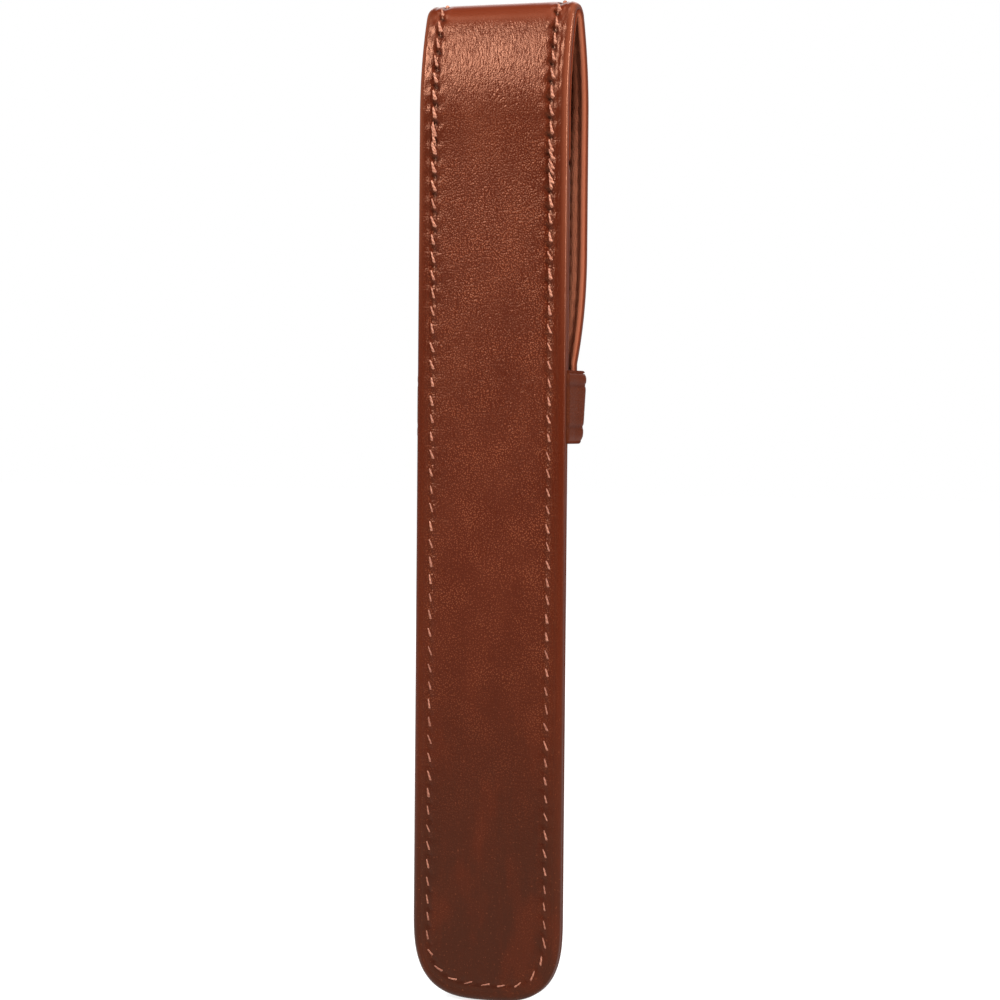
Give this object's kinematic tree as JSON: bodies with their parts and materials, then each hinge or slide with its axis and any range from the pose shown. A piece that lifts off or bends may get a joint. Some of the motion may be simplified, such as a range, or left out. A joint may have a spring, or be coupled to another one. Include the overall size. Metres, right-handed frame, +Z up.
{
  "type": "pen sleeve",
  "caption": "Tall slim leather sleeve for one pen: a stitched pocket whose back strap folds over the top and tucks its tongue under a keeper band.",
  "frame": {"origin": "on the ground under the middle of the standing sleeve, at its rounded bottom end", "axes": "+Z runs up the sleeve's length, +Y points out of its back face, X runs across its width"},
  "size_m": [0.0304, 0.0131, 0.1782],
  "materials": {
    "outer_leather": "soft satin with fine pebbled grain",
    "front_leather": "soft satin with fine pebbled grain",
    "lining_leather": "matte fine suede",
    "keeper_leather": "soft satin with creased edges",
    "thread": "waxed thread"
  },
  "bodies": {
    "sleeve": {"back_panel": "outer_leather", "front_panel": "front_leather", "keeper_band": "keeper_leather", "strap_lining": "lining_leather", "back_stitching": "thread", "front_stitching": "thread"},
    "flap": {"flap_panel": "outer_leather", "flap_lining": "lining_leather", "flap_stitching": "thread"},
    "tongue": {"tongue_panel": "outer_leather", "tongue_lining": "lining_leather", "tongue_stitching": "thread"}
  },
  "joints": [
    {"name": "flap_swing", "type": "hinge", "parent": "sleeve", "child": "flap", "pos_m": [0, 0, 0.178], "axis": [-1, 0, 0], "range_deg": [0, 150], "stiffness_Nm_per_rad": 0.1},
    {"name": "tongue_draw", "type": "slide", "parent": "flap", "child": "tongue", "axis": [0, 0, 1], "range_m": [0, 0.017], "stiffness_N_per_m": 30, "deforming": ["tongue_panel", "tongue_lining", "tongue_stitching"]}
  ]
}
